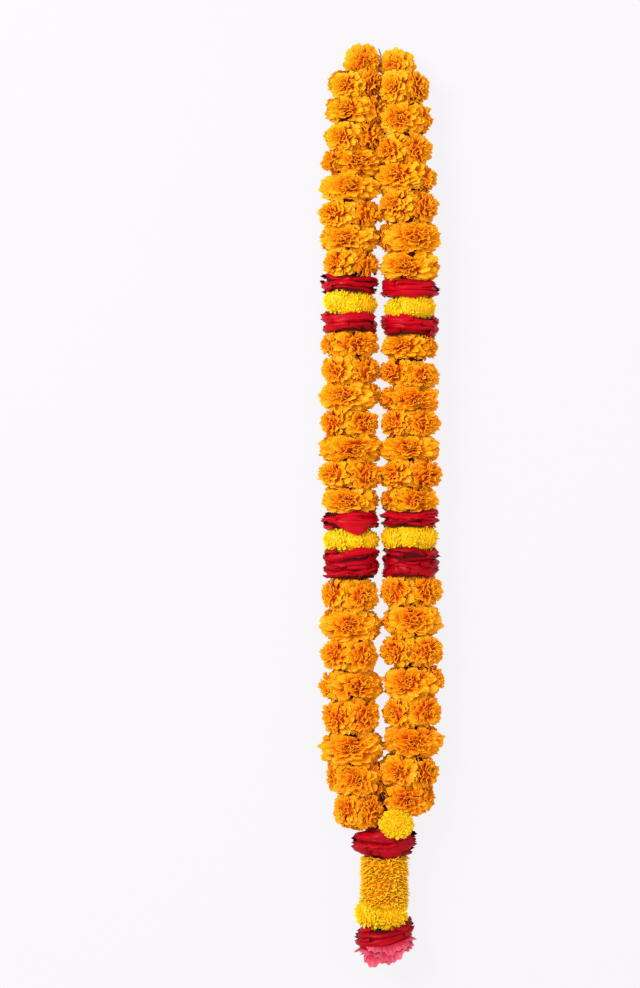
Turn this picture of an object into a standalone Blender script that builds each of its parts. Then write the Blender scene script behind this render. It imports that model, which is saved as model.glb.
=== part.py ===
"""A flower garland laid flat: two strands of marigolds, tied at the top, that meet in a short pendant.

X runs across the two strands, +Y runs towards the end the garland hangs by, and Z is up from the
surface it lies on. The origin is under the middle of the whole garland. All sizes are in metres.
"""

from dataclasses import dataclass
from math import atan2, cos, hypot, pi, tan

import bmesh
import bpy
from mathutils import Matrix, Vector

# Driving dimensions.
STRAND_HEIGHT = 0.052
"""A strand's height over the surface: its flowers are pressed a little flat by their weight."""
AXIS_HEIGHT = STRAND_HEIGHT / 2
PENDANT_HEIGHT = 0.050
SEAM = 0.0005
"""The clear space between two flowers that press on each other."""
BORE_RADIUS = 0.0024
"""The way that the needle opened through a flower."""
THREAD_RADIUS = 0.00075
SIDES = 12
"""Steps of a turned flower. A flat side of it lies on the surface."""
FLAT_REACH = cos(pi / SIDES)

# The single heads at the top, the knots and the way of the thread between them.
TOP_KNOT_PLACE = Vector((0.0, 0.4850, 0.0230))
TOP_KNOT_RADIUS = 0.0021
GATHER_KNOT_PLACE = Vector((0.0042, -0.3583, AXIS_HEIGHT))
GATHER_KNOT_RADIUS = 0.0024
END_KNOT_RADIUS = 0.0030
KNOT_GAP = 0.0004
BORE_EXIT = 0.0012
"""How far the thread runs straight on out of a strand before it turns to a knot."""
HEAD_BORE_RADIUS = 0.0020
LEFT_HEAD_PLACE = Vector((-0.0204, 0.4912, 0.0200))
LEFT_HEAD_RADII = Vector((0.0187, 0.0162, 0.0170))
RIGHT_HEAD_PLACE = Vector((0.0214, 0.4873, 0.0200))
RIGHT_HEAD_RADII = Vector((0.0180, 0.0142, 0.0150))

# The two small flowers tied in where the strands meet.
POMPON_PLACE = Vector((0.0170, -0.3560, 0.0440))
POMPON_RADII = Vector((0.0200, 0.0145, 0.0135))
BUD_PLACE = Vector((-0.0065, -0.3585, 0.0120))
BUD_RADII = Vector((0.0110, 0.0070, 0.0090))

# The end of the thread that the garland is hung by. It droops from the top knot onto the surface.
TAIL_ROUTE = (
    (0.0000, 0.4875, 0.0230),
    (0.0002, 0.4900, 0.0227),
    (0.0005, 0.4935, 0.0205),
    (0.0006, 0.4965, 0.0150),
    (0.0004, 0.4985, 0.0080),
    (0.0000, 0.5008, 0.0026),
    (-0.0005, 0.5030, 0.0010),
    (-0.0010, 0.5052, 0.0009),
)
TAIL_SAMPLES = 2


@dataclass(frozen=True)
class Petals:
    """A kind of flower: its outline and the material of its petals.

    The outline runs over the length of one head, from its end nearer the top of the garland, as
    (share of the length, share of the largest radius).
    """

    material: str
    outline: tuple


@dataclass(frozen=True)
class Material:
    """A plain finish for the solids."""

    colour: tuple
    roughness: float


@dataclass(frozen=True)
class Section:
    """A run of marigolds on a strand, and the band of rose, yellow and rose that may follow it."""

    groups: tuple
    """How many rows of heads each fused group holds."""
    row_length: float
    widths: tuple
    """The width of each group."""
    band: tuple = ()
    """The lengths of the band's three pieces."""


@dataclass(frozen=True)
class Strand:
    """One side of the garland, from its top end down."""

    side: str
    top: float
    line: tuple
    """The strand's centre line as (y, x), from the top down."""
    sections: tuple


MATERIALS = {
    "marigold_petals": Material((0.95, 0.36, 0.01), 0.60),
    "yellow_petals": Material((0.93, 0.60, 0.01), 0.60),
    "chrysanthemum_petals": Material((0.90, 0.45, 0.02), 0.60),
    "rose_petals": Material((0.50, 0.00, 0.02), 0.40),
    "pink_petals": Material((0.80, 0.12, 0.22), 0.50),
    "cotton_thread": Material((0.60, 0.55, 0.60), 0.80),
}

BARREL = ((0.0, 0.68), (0.12, 0.86), (0.34, 1.0), (0.66, 1.0), (0.88, 0.86), (1.0, 0.68))
MARIGOLD = Petals("marigold_petals", BARREL)
YELLOW = Petals("yellow_petals", BARREL)
ROSE = Petals("rose_petals", ((0.0, 0.84), (0.30, 1.0), (0.70, 1.0), (1.0, 0.84)))
CHRYSANTHEMUM = Petals("chrysanthemum_petals", ((0.0, 0.82), (0.25, 1.0), (0.75, 1.0), (1.0, 0.82)))
COLLAR = Petals("rose_petals", ((0.0, 0.24), (0.35, 0.66), (0.55, 1.0), (0.90, 1.0), (1.0, 0.74)))
SKIRT = Petals("pink_petals", ((0.0, 0.50), (0.22, 0.86), (0.50, 1.0), (0.85, 1.0), (1.0, 0.84)))

BAND_WIDTHS = (0.0630, 0.0600, 0.0635)
BAND_ROWS = (2, 1, 2)
THICK_ROSE = 0.025
"""A rose ring longer than this has a third layer of petals."""

LEFT = Strand(
    side="left",
    top=0.4745,
    line=((0.4745, -0.0340), (0.20, -0.0333), (-0.25, -0.0327), (-0.3528, -0.0262)),
    sections=(
        Section((2, 2, 2, 2), 0.0282, (0.0560, 0.0600, 0.0620, 0.0600), (0.0170, 0.0240, 0.0190)),
        Section((2, 2, 2, 1), 0.0284, (0.0600, 0.0620, 0.0620, 0.0610), (0.0170, 0.0250, 0.0300)),
        Section((2, 2, 2, 2), 0.0338, (0.0620, 0.0620, 0.0630, 0.0560)),
    ),
)
RIGHT = Strand(
    side="right",
    top=0.4722,
    line=(
        (0.4722, 0.0290),
        (0.38, 0.0290),
        (0.26, 0.0325),
        (-0.06, 0.0325),
        (-0.14, 0.0355),
        (-0.29, 0.0362),
        (-0.3425, 0.0315),
    ),
    sections=(
        Section((2, 2, 2, 1), 0.0327, (0.0560, 0.0590, 0.0610, 0.0600), (0.0160, 0.0240, 0.0180)),
        Section((2, 2, 2, 1), 0.0277, (0.0600, 0.0610, 0.0620, 0.0610), (0.0170, 0.0260, 0.0280)),
        Section((2, 2, 2, 2), 0.0329, (0.0620, 0.0630, 0.0630, 0.0560)),
    ),
)

# The pendant's flowers from the top down, as (name, kind, length, width, layers).
PENDANT_X = 0.0042
PENDANT_TOP = -0.3640
PENDANT = (
    ("rose_collar", COLLAR, 0.0258, 0.0670, 1),
    ("chrysanthemum_1", CHRYSANTHEMUM, 0.0168, 0.0530, 1),
    ("chrysanthemum_2", CHRYSANTHEMUM, 0.0168, 0.0520, 1),
    ("chrysanthemum_3", CHRYSANTHEMUM, 0.0168, 0.0540, 1),
    ("pendant_yellow_row", YELLOW, 0.0254, 0.0580, 1),
    ("crimson_petals", ROSE, 0.0180, 0.0630, 2),
    ("pink_petals", SKIRT, 0.0234, 0.0650, 1),
)
RECESS_DEPTH = 0.0085
"""The hollow under the last petals, which holds the end knot."""
RECESS_RADIUS = 0.0062


def clear_scene():
    """Remove every object, and the collections a new file starts with."""
    for thing in list(bpy.data.objects):
        bpy.data.objects.remove(thing, do_unlink=True)
    for group in list(bpy.data.collections):
        bpy.data.collections.remove(group)


def new_collection(name):
    """Return a new collection in the scene."""
    group = bpy.data.collections.new(name)
    bpy.context.scene.collection.children.link(group)
    return group


def make_materials():
    """Return each finish as a Principled material."""
    made = {}
    for name, finish in MATERIALS.items():
        material = bpy.data.materials.new(name)
        material.use_nodes = True
        shader = material.node_tree.nodes["Principled BSDF"]
        shader.inputs["Base Color"].default_value = (*finish.colour, 1.0)
        shader.inputs["Roughness"].default_value = finish.roughness
        shader.inputs["Metallic"].default_value = 0.0
        made[name] = material
    return made


class Workshop:
    """Makes the garland's pieces and keeps what they all need."""

    def __init__(self):
        clear_scene()
        self.pieces = new_collection("marigold_garland")
        self.cutters = new_collection("cutters")
        self.materials = make_materials()
        self.garland = bpy.data.objects.new("garland", None)
        self.pieces.objects.link(self.garland)

    def add(self, name, data, material):
        """Link a new object under the garland's empty, with its material."""
        thing = bpy.data.objects.new(name, data)
        data.materials.append(self.materials[material])
        self.pieces.objects.link(thing)
        thing.parent = self.garland
        return thing

    def turned(self, name, petals, top, bottom, width, height, rows, recess=False):
        """Add a flower group turned about the thread, from its top end to its bottom end."""
        axis = top - bottom
        outer = outline(petals, axis.length, width, rows)
        end = -axis.length / 2
        inner = [(BORE_RADIUS, end), (BORE_RADIUS, -end)]
        if recess:
            roof = end + RECESS_DEPTH
            inner = [(RECESS_RADIUS, end), (RECESS_RADIUS, roof), (BORE_RADIUS, roof), (BORE_RADIUS, -end)]
        mesh = bpy.data.meshes.new(name)
        mesh.from_pydata(*ring_of_points(outer + inner), [])
        thing = self.add(name, mesh, petals.material)
        thing.location = (top + bottom) / 2
        thing.rotation_euler = (-pi / 2, 0.0, atan2(-axis.x, axis.y))
        thing.scale.y = height / width
        turn = thing.modifiers.new("Turn", "SCREW")
        turn.axis = "Z"
        turn.angle = 2 * pi
        turn.steps = SIDES
        turn.render_steps = SIDES
        turn.use_merge_vertices = True
        turn.merge_threshold = 0.0001
        turn.use_normal_calculate = False
        return thing

    def ball(self, name, material, place, radii, segments=16, rings=10):
        """Add an ellipsoid: a single head or a knot."""
        body = bmesh.new()
        bmesh.ops.create_uvsphere(body, u_segments=segments, v_segments=rings, radius=1.0)
        bmesh.ops.scale(body, vec=radii, verts=body.verts)
        mesh = bpy.data.meshes.new(name)
        body.to_mesh(mesh)
        body.free()
        mesh.shade_smooth()
        thing = self.add(name, mesh, material)
        thing.location = place
        return thing

    def bore(self, thing, start, end):
        """Cut the thread's way through a single head, from start to end."""
        way = end - start
        cutter_body = bmesh.new()
        bmesh.ops.create_cone(
            cutter_body,
            cap_ends=True,
            segments=SIDES,
            radius1=HEAD_BORE_RADIUS,
            radius2=HEAD_BORE_RADIUS,
            depth=way.length * 1.5,
            matrix=Matrix.Translation((start + end) / 2) @ way.to_track_quat("Z", "Y").to_matrix().to_4x4(),
        )
        mesh = bpy.data.meshes.new(f"{thing.name}_bore")
        cutter_body.to_mesh(mesh)
        cutter_body.free()
        cutter = bpy.data.objects.new(f"{thing.name}_bore", mesh)
        self.cutters.objects.link(cutter)
        cutter.parent = self.garland
        cutter.hide_render = True
        cutter.display_type = "WIRE"
        cut = thing.modifiers.new("Bore", "BOOLEAN")
        cut.operation = "DIFFERENCE"
        cut.object = cutter

    def thread(self, name, route):
        """Add a thread along a route."""
        curve = bpy.data.curves.new(name, "CURVE")
        curve.dimensions = "3D"
        curve.bevel_depth = THREAD_RADIUS
        curve.bevel_resolution = 2
        curve.use_fill_caps = True
        spline = curve.splines.new("POLY")
        spline.points.add(len(route) - 1)
        for point, place in zip(spline.points, route):
            point.co = (*place, 1.0)
        return self.add(name, curve, "cotton_thread")


def outline(petals, length, width, rows):
    """Return the outer profile as (radius, height) from the top end to the bottom end."""
    radius = width / 2 / FLAT_REACH
    points = []
    for row in range(rows):
        for share, reach in petals.outline[1 if row else 0 :]:
            points.append((radius * reach, length * (0.5 - (row + share) / rows)))
    return points


def ring_of_points(profile):
    """Return a closed profile's vertices and edges, turned half a step so that flat sides lie level."""
    half_step = Matrix.Rotation(pi / SIDES, 3, "Z")
    places = [half_step @ Vector((radius, 0.0, height)) for radius, height in profile]
    edges = [(n, (n + 1) % len(places)) for n in range(len(places))]
    return places, edges


def line_at(line, y):
    """Return the place on a strand's centre line at y."""
    for (y_high, x_high), (y_low, x_low) in zip(line, line[1:]):
        if y >= y_low or (y_low, x_low) == line[-1]:
            share = (y_high - y) / (y_high - y_low)
            return Vector((x_high + (x_low - x_high) * share, y, AXIS_HEIGHT))
    raise ValueError(y)


def strand_pieces(strand):
    """Return (name, kind, rows, length, width) for each piece of a strand, from the top down."""
    found = []
    marigolds = 0
    bands = 0
    for section in strand.sections:
        for rows, width in zip(section.groups, section.widths):
            marigolds += 1
            name = f"{strand.side}_marigolds_{marigolds:02d}"
            found.append((name, MARIGOLD, rows, rows * section.row_length, width))
        if section.band:
            bands += 1
            names = ("upper_roses", "yellow_row", "lower_roses")
            for name, petals, length, width, rows in zip(
                names, (ROSE, YELLOW, ROSE), section.band, BAND_WIDTHS, BAND_ROWS
            ):
                layers = rows + 1 if petals is ROSE and length > THICK_ROSE else rows
                found.append((f"{strand.side}_band_{bands}_{name}", petals, layers, length, width))
    return found


def joints_of(strand, pieces):
    """Return the points of the centre line where the pieces meet, from the top down."""
    y = strand.top
    joints = [line_at(strand.line, y)]
    for _, _, _, length, _ in pieces:
        y -= length
        joints.append(line_at(strand.line, y))
    return joints


def end_gap(before, after, width, petals):
    """Return how far a piece stops short of a joint, so that its edge clears a tilted neighbour."""
    tilt = abs(before.xy.angle_signed(after.xy))
    return SEAM / 2 + tan(tilt / 2) * petals.outline[0][1] * width / 2


def build_strand(shop, strand):
    """Add a strand's flowers and return the joints of its centre line."""
    pieces = strand_pieces(strand)
    joints = joints_of(strand, pieces)
    ways = [high - low for high, low in zip(joints, joints[1:])]
    for n, (name, petals, rows, _, width) in enumerate(pieces):
        way = ways[n].normalized()
        gap_above = end_gap(ways[max(n - 1, 0)], ways[n], width, petals)
        gap_below = end_gap(ways[n], ways[min(n + 1, len(ways) - 1)], width, petals)
        top = joints[n] - way * gap_above
        bottom = joints[n + 1] + way * gap_below
        shop.turned(name, petals, top, bottom, width, STRAND_HEIGHT, rows)
    return joints


def knot_side(knot, radius, towards):
    """Return the point where a thread from towards stops at a knot."""
    return knot + (towards - knot).normalized() * (radius + THREAD_RADIUS * 0.2 + KNOT_GAP)


def build_strand_thread(shop, strand, joints, head, head_place, head_radii):
    """Add a strand's thread from knot to knot, and the single head that it holds at the top."""
    above = joints[0] + Vector((0.0, BORE_EXIT, 0.0))
    below = joints[-1] - Vector((0.0, BORE_EXIT, 0.0))
    at_top = knot_side(TOP_KNOT_PLACE, TOP_KNOT_RADIUS, above)
    at_gather = knot_side(GATHER_KNOT_PLACE, GATHER_KNOT_RADIUS, below)
    shop.thread(f"{strand.side}_thread", [at_top, above, *joints[1:-1], below, at_gather])
    single = shop.ball(head, MARIGOLD.material, head_place, head_radii)
    shop.bore(single, above, at_top)


def build_pendant(shop):
    """Add the pendant's flowers, its thread and the knots at its two ends."""
    y = PENDANT_TOP
    for name, petals, length, width, layers in PENDANT:
        top = Vector((PENDANT_X, y - SEAM / 2, AXIS_HEIGHT))
        y -= length
        bottom = Vector((PENDANT_X, y + SEAM / 2, AXIS_HEIGHT))
        height = min(PENDANT_HEIGHT, width)
        shop.turned(name, petals, top, bottom, width, height, layers, recess=name == PENDANT[-1][0])
    end_knot = Vector((PENDANT_X, y + RECESS_DEPTH - KNOT_GAP - END_KNOT_RADIUS, AXIS_HEIGHT))
    start = GATHER_KNOT_PLACE - Vector((0.0, GATHER_KNOT_RADIUS + KNOT_GAP, 0.0))
    end = end_knot + Vector((0.0, END_KNOT_RADIUS + KNOT_GAP, 0.0))
    shop.thread("pendant_thread", [start.lerp(end, n / 4) for n in range(5)])
    knots = (
        ("top_knot", TOP_KNOT_PLACE, TOP_KNOT_RADIUS),
        ("gathering_knot", GATHER_KNOT_PLACE, GATHER_KNOT_RADIUS),
        ("end_knot", end_knot, END_KNOT_RADIUS),
    )
    for name, place, radius in knots:
        shop.ball(name, "cotton_thread", place, Vector((radius,) * 3), segments=10, rings=8)


def smooth_route(route, samples):
    """Return points along a smooth curve through a route's points, samples to each span."""
    places = [Vector(place) for place in route]
    padded = [2 * places[0] - places[1], *places, 2 * places[-1] - places[-2]]
    found = []
    for before, start, end, after in zip(padded, padded[1:], padded[2:], padded[3:]):
        for n in range(samples):
            t = n / samples
            bend = 2 * before - 5 * start + 4 * end - after
            twist = 3 * start - before - 3 * end + after
            found.append(start + ((end - before) * t + bend * t * t + twist * t**3) / 2)
    return [*found, places[-1]]


def centre(shop):
    """Move the whole garland so that the origin is under its middle."""
    bpy.context.view_layer.update()
    graph = bpy.context.evaluated_depsgraph_get()
    corners = []
    for thing in shop.garland.children:
        if thing.type == "MESH" and thing.display_type != "WIRE":
            shape = thing.evaluated_get(graph)
            corners += [shape.matrix_world @ vertex.co for vertex in shape.data.vertices]
    low = Vector(min(corner[n] for corner in corners) for n in range(3))
    high = Vector(max(corner[n] for corner in corners) for n in range(3))
    shop.garland.location = (-(low.x + high.x) / 2, -(low.y + high.y) / 2, 0.0)
    bpy.context.view_layer.update()


def main():
    """Build the garland."""
    shop = Workshop()
    left = build_strand(shop, LEFT)
    right = build_strand(shop, RIGHT)
    build_strand_thread(shop, LEFT, left, "left_top_marigold", LEFT_HEAD_PLACE, LEFT_HEAD_RADII)
    build_strand_thread(shop, RIGHT, right, "right_top_marigold", RIGHT_HEAD_PLACE, RIGHT_HEAD_RADII)
    build_pendant(shop)
    shop.ball("yellow_pompon", YELLOW.material, POMPON_PLACE, POMPON_RADII)
    shop.ball("small_yellow_flower", YELLOW.material, BUD_PLACE, BUD_RADII)
    shop.thread("hanging_thread", smooth_route(TAIL_ROUTE, TAIL_SAMPLES))
    centre(shop)


main()
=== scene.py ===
"""Looks of a marigold garland that lies on a pale surface, petal by petal.

Every flower is made of thin closed petals round the thread that the frame gives. Sizes are in metres, and
shares are of the flower's own radius.
"""

import logging
import math
import random
from collections.abc import Sequence
from dataclasses import dataclass, fields, replace
from enum import Enum
from typing import ClassVar

import bmesh
import bpy
from bmesh.types import BMesh, BMVert
from mathutils import Matrix, Vector


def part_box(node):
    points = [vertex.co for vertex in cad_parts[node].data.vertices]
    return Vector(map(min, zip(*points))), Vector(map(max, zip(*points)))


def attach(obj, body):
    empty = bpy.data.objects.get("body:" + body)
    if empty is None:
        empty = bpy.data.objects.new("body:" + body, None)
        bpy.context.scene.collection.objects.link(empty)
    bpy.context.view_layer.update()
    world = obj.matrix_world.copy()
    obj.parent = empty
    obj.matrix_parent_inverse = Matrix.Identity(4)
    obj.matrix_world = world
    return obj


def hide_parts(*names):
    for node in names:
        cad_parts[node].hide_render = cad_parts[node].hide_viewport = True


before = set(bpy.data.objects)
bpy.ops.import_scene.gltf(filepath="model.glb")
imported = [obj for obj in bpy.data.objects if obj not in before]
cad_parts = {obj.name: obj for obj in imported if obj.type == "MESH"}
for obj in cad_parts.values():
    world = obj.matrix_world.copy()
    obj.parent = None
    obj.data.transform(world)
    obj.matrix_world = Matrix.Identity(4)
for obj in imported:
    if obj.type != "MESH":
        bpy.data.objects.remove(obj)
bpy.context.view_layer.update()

LOG = logging.getLogger("garland")

PETAL_LAYER = "petal"
GOLDEN_TURN = math.pi * (3 - math.sqrt(5))
SURFACE_CLEARANCE = 0.0005
UP = Vector((0.0, 0.0, 1.0))


class Slot(Enum):
    """The record's material slots."""

    MARIGOLD = "marigold_petals"
    YELLOW = "yellow_petals"
    CHRYSANTHEMUM = "chrysanthemum_petals"
    ROSE = "rose_petals"
    PINK = "pink_petals"
    THREAD = "cotton_thread"


@dataclass(frozen=True)
class Stance:
    """How one head of a row stands on the thread."""

    angle: float
    """Round the thread, in degrees from +X towards +Z."""
    root: float
    """From the thread to the head's middle, as a share of the row's half width."""
    side: float
    """Its radius round the thread, as a share of the row's half width."""
    reach: float
    """Its radius away from the thread, as a share of the row's half width."""


class Facing(Enum):
    """How the heads of a strung row stand round the thread."""

    FRONT = (
        Stance(90.0, 0.10, 1.0, 0.90),
        Stance(212.0, 0.30, 0.72, 0.72),
        Stance(328.0, 0.30, 0.72, 0.72),
    )
    LEFT = (
        Stance(108.0, 0.16, 0.90, 0.84),
        Stance(350.0, 0.32, 0.70, 0.70),
        Stance(225.0, 0.30, 0.75, 0.70),
    )
    RIGHT = (
        Stance(72.0, 0.16, 0.90, 0.84),
        Stance(190.0, 0.32, 0.70, 0.70),
        Stance(315.0, 0.30, 0.75, 0.70),
    )
    PAIR = (
        Stance(36.0, 0.38, 0.70, 0.68),
        Stance(144.0, 0.38, 0.70, 0.68),
        Stance(270.0, 0.22, 0.80, 0.76),
    )
    CLUSTER = (
        Stance(22.0, 0.40, 0.66, 0.64),
        Stance(158.0, 0.40, 0.66, 0.64),
        Stance(90.0, 0.26, 0.58, 0.66),
        Stance(270.0, 0.22, 0.80, 0.72),
    )


class Kind(Enum):
    """The kinds of flower head."""

    MARIGOLD = "marigold"
    YELLOW = "yellow"
    POMPON = "pompon"


# ---------------------------------------------------------------------------------------- finishes


@dataclass(frozen=True)
class Paint:
    """A colour, as linear red, green and blue."""

    red: float
    green: float
    blue: float

    def rgba(self) -> tuple[float, float, float, float]:
        """Return the colour with full alpha."""
        return (self.red, self.green, self.blue, 1.0)


class Wiring:
    """A node tree and short ways to fill it."""

    def __init__(self, tree: bpy.types.NodeTree) -> None:
        """Keep the tree."""
        self.tree = tree

    def node(self, kind: str, **values: object) -> bpy.types.Node:
        """Add a node.

        Args:
            kind: the node's type name.
            values: properties of the node to set.

        Returns:
            The new node.
        """
        made = self.tree.nodes.new(kind)
        for name, value in values.items():
            setattr(made, name, value)
        return made

    def feed(self, socket: bpy.types.NodeSocket, source: object) -> None:
        """Give a socket its value.

        Args:
            socket: an input.
            source: an output to link to it, or the number or Paint to set it to.
        """
        if isinstance(source, bpy.types.NodeSocket):
            self.tree.links.new(source, socket)
        else:
            socket.default_value = source.rgba() if isinstance(source, Paint) else source

    def maths(self, operation: str, first: object, second: object) -> bpy.types.NodeSocket:
        """Add a Math node.

        Args:
            operation: the node's operation.
            first: a socket or a number.
            second: a socket or a number.

        Returns:
            The node's output.
        """
        made = self.node("ShaderNodeMath", operation=operation)
        self.feed(made.inputs[0], first)
        self.feed(made.inputs[1], second)
        return made.outputs[0]

    def times(self, first: object, second: object) -> bpy.types.NodeSocket:
        """Return the product of two sockets or numbers."""
        return self.maths("MULTIPLY", first, second)

    def ramp(
        self,
        value: bpy.types.NodeSocket,
        low: object,
        high: object,
        to_low: float = 0.0,
        to_high: float = 1.0,
    ) -> bpy.types.NodeSocket:
        """Map a value from one range to another, with smooth ends.

        Args:
            value: the socket to map.
            low: where the range starts, as a socket or a number.
            high: where it ends.
            to_low: what low becomes.
            to_high: what high becomes.

        Returns:
            The mapped value.
        """
        made = self.node("ShaderNodeMapRange", interpolation_type="SMOOTHSTEP")
        names = ("Value", "From Min", "From Max", "To Min", "To Max")
        for name, source in zip(names, (value, low, high, to_low, to_high)):
            self.feed(made.inputs[name], source)
        return made.outputs["Result"]

    def mix(self, share: object, first: object, second: object, blend: str = "MIX") -> bpy.types.NodeSocket:
        """Mix two colours.

        Args:
            share: how much of the second is taken, as a socket or a number.
            first: a socket or a Paint.
            second: a socket or a Paint.
            blend: the blend type.

        Returns:
            The mixed colour.
        """
        made = self.node("ShaderNodeMix", data_type="RGBA", blend_type=blend)
        self.feed(made.inputs["Factor"], share)
        self.feed(made.inputs[6], first)
        self.feed(made.inputs[7], second)
        return made.outputs[2]

    def noise(self, place: bpy.types.NodeSocket, scale: float, detail: float) -> bpy.types.NodeSocket:
        """Add a noise texture.

        Args:
            place: where it is read.
            scale: how fine it is.
            detail: how many finer layers it has.

        Returns:
            Its strength.
        """
        made = self.node("ShaderNodeTexNoise")
        self.feed(made.inputs["Vector"], place)
        made.inputs["Scale"].default_value = scale
        made.inputs["Detail"].default_value = detail
        return made.outputs["Fac"]

    def bump(self, height: bpy.types.NodeSocket, strength: float, distance: float) -> bpy.types.NodeSocket:
        """Add a bump.

        Args:
            height: the relief.
            strength: how much of it shows.
            distance: its depth at full height.

        Returns:
            The bent normal.
        """
        made = self.node("ShaderNodeBump")
        self.feed(made.inputs["Height"], height)
        made.inputs["Strength"].default_value = strength
        made.inputs["Distance"].default_value = distance
        return made.outputs["Normal"]


def new_material(name: str) -> tuple[bpy.types.Material, Wiring, bpy.types.bpy_prop_collection]:
    """Start a material.

    Args:
        name: the material's name.

    Returns:
        The material, its tree and the inputs of its shader.
    """
    made = bpy.data.materials.new(name)
    made.use_nodes = True
    return made, Wiring(made.node_tree), made.node_tree.nodes["Principled BSDF"].inputs


class PetalPattern:
    """The shared node group that colours a petal from base to margin and draws its veins."""

    NAME = "petal_pattern"
    COLOURS = ("Base", "Blade", "Flush", "Margin")
    MARGIN = ("Margin Start", "Margin End", "Margin Strength")
    VALUES = (*MARGIN, "Variation", "Vein Scale", "Vein Depth", "Vein Shade")
    VEIN_STRETCH = 1.3
    TONE_SHIFT = 41.0
    """How far apart in the noise two petals are whose tones differ by 1."""
    PATCH_SCALE = 95.0

    def __init__(self) -> None:
        """Build the group."""
        self.group = bpy.data.node_groups.new(self.NAME, "ShaderNodeTree")
        for name in ("Petal", "Place"):
            self.socket(name, "INPUT", "NodeSocketVector")
        for name in self.COLOURS:
            self.socket(name, "INPUT", "NodeSocketColor")
        for name in self.VALUES:
            self.socket(name, "INPUT", "NodeSocketFloat")
        self.socket("Color", "OUTPUT", "NodeSocketColor")
        for name in ("Roughness", "Height"):
            self.socket(name, "OUTPUT", "NodeSocketFloat")
        self.wire(Wiring(self.group))

    def socket(self, name: str, way: str, kind: str) -> None:
        """Add a socket to the group."""
        self.group.interface.new_socket(name, in_out=way, socket_type=kind)

    def wire(self, wiring: Wiring) -> None:
        """Fill the group's tree."""
        given = wiring.node("NodeGroupInput").outputs
        result = wiring.node("NodeGroupOutput").inputs
        parts = wiring.node("ShaderNodeSeparateXYZ")
        wiring.feed(parts.inputs[0], given["Petal"])
        across, along, tone = parts.outputs

        # Veins run along the petal, and each petal has its own.
        run = wiring.node("ShaderNodeCombineXYZ")
        wiring.feed(run.inputs[0], wiring.times(across, given["Vein Scale"]))
        wiring.feed(run.inputs[1], wiring.times(along, self.VEIN_STRETCH))
        wiring.feed(run.inputs[2], wiring.times(tone, self.TONE_SHIFT))
        veins = wiring.noise(run.outputs[0], 1.0, 2.0)

        # Soft patches cross from petal to petal.
        patches = wiring.noise(given["Place"], self.PATCH_SCALE, 2.0)
        patched = wiring.ramp(patches, 0.36, 0.62, 0.35, 1.0)

        # Towards its base the petal darkens: partly its own deeper colour, partly painted shade deep between
        # the petals.
        blade = wiring.mix(wiring.ramp(along, 0.12, 0.66), given["Base"], given["Blade"])
        flush_share = wiring.times(wiring.ramp(tone, 0.25, 1.0), patched)
        flushed = wiring.mix(wiring.times(flush_share, given["Variation"]), blade, given["Flush"])
        edge = wiring.maths("ADD", along, wiring.ramp(veins, 0.3, 0.7, -0.06, 0.06))
        margin_share = wiring.ramp(edge, given["Margin Start"], given["Margin End"])
        margined = wiring.mix(wiring.times(margin_share, given["Margin Strength"]), flushed, given["Margin"])
        dark = wiring.times(wiring.ramp(veins, 0.3, 0.7, 1.0, 0.0), given["Vein Shade"])
        light = wiring.maths("SUBTRACT", 1.0, dark)
        shade = wiring.node("ShaderNodeCombineColor")
        for socket in shade.inputs[:3]:
            wiring.feed(socket, light)
        wiring.feed(result["Color"], wiring.mix(1.0, margined, shade.outputs[0], blend="MULTIPLY"))
        wiring.feed(result["Roughness"], wiring.ramp(veins, 0.25, 0.75, 0.46, 0.66))
        wiring.feed(result["Height"], wiring.times(veins, given["Vein Depth"]))


@dataclass(frozen=True)
class PetalFinish:
    """The finish of one kind of petal."""

    name: str
    # Deep in the flower: partly the petal's own colour, partly painted shade.
    base: Paint
    blade: Paint
    flush: Paint
    margin: Paint
    margin_from: float = 0.72
    margin_to: float = 1.0
    margin_strength: float = 0.6
    variation: float = 0.7
    vein_scale: float = 4.0
    vein_depth: float = 0.6
    vein_shade: float = 0.20
    satin: bool = False
    subsurface: float = 0.0

    def material(self, pattern: PetalPattern) -> bpy.types.Material:
        """Return the material.

        Args:
            pattern: the shared petal group.

        Returns:
            The new material.
        """
        made, wiring, shader = new_material(self.name)
        placed = wiring.node("ShaderNodeGroup", node_tree=pattern.group)
        petal = wiring.node("ShaderNodeAttribute", attribute_name=PETAL_LAYER)
        place = wiring.node("ShaderNodeTexCoord")
        wiring.feed(placed.inputs["Petal"], petal.outputs["Vector"])
        wiring.feed(placed.inputs["Place"], place.outputs["Object"])
        colours = (self.base, self.blade, self.flush, self.margin)
        values = (
            self.margin_from,
            self.margin_to,
            self.margin_strength,
            self.variation,
            self.vein_scale,
            self.vein_depth,
            self.vein_shade,
        )
        for name, source in zip((*PetalPattern.COLOURS, *PetalPattern.VALUES), (*colours, *values)):
            wiring.feed(placed.inputs[name], source)
        wiring.feed(shader["Base Color"], placed.outputs["Color"])
        wiring.feed(shader["Normal"], wiring.bump(placed.outputs["Height"], 0.5, 0.0012))
        if self.satin:
            shader["Roughness"].default_value = 0.38
            shader["Specular IOR Level"].default_value = 0.08
            shader["Sheen Weight"].default_value = 0.03
            shader["Sheen Roughness"].default_value = 0.35
            shader["Sheen Tint"].default_value = (1.0, 0.12, 0.2, 1.0)
        else:
            wiring.feed(shader["Roughness"], placed.outputs["Roughness"])
            shader["Specular IOR Level"].default_value = 0.15
        shader["Subsurface Weight"].default_value = self.subsurface
        shader["Subsurface Radius"].default_value = (1.0, 0.35, 0.1)
        shader["Subsurface Scale"].default_value = 0.006
        return made


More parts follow.
